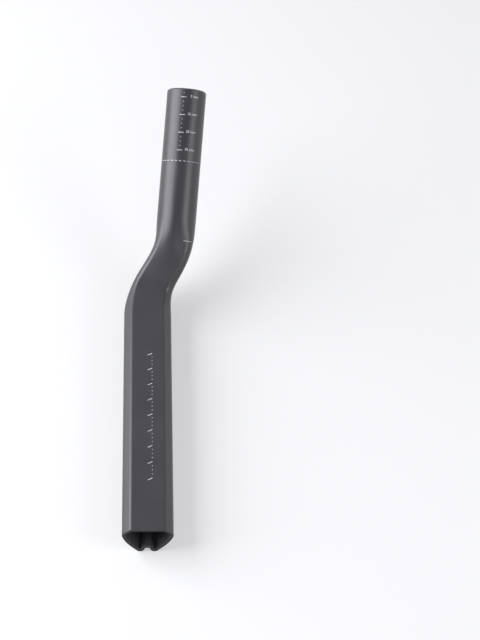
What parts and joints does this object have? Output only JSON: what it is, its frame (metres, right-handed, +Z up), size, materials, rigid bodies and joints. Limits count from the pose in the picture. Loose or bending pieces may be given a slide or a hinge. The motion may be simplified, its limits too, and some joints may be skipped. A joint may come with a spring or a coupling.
{
  "type": "aero handlebar extension",
  "caption": "Left-hand hollow aero bar extension: flat-topped grooved body that swings inward and upward into a round hand tube, open at both ends.",
  "frame": {"origin": "on the flat top of the body, on its centre line, at the middle mark of the armrest scale", "axes": "+X to the rider's right, +Y forward along the straight body, +Z up out of the flat top"},
  "size_m": [0.0454, 0.2555, 0.094],
  "materials": {
    "moulded_carbon": "satin dark grey coat on moulded carbon fibre"
  },
  "bodies": {
    "root": {"extension_tube": "moulded_carbon"}
  },
  "joints": []
}
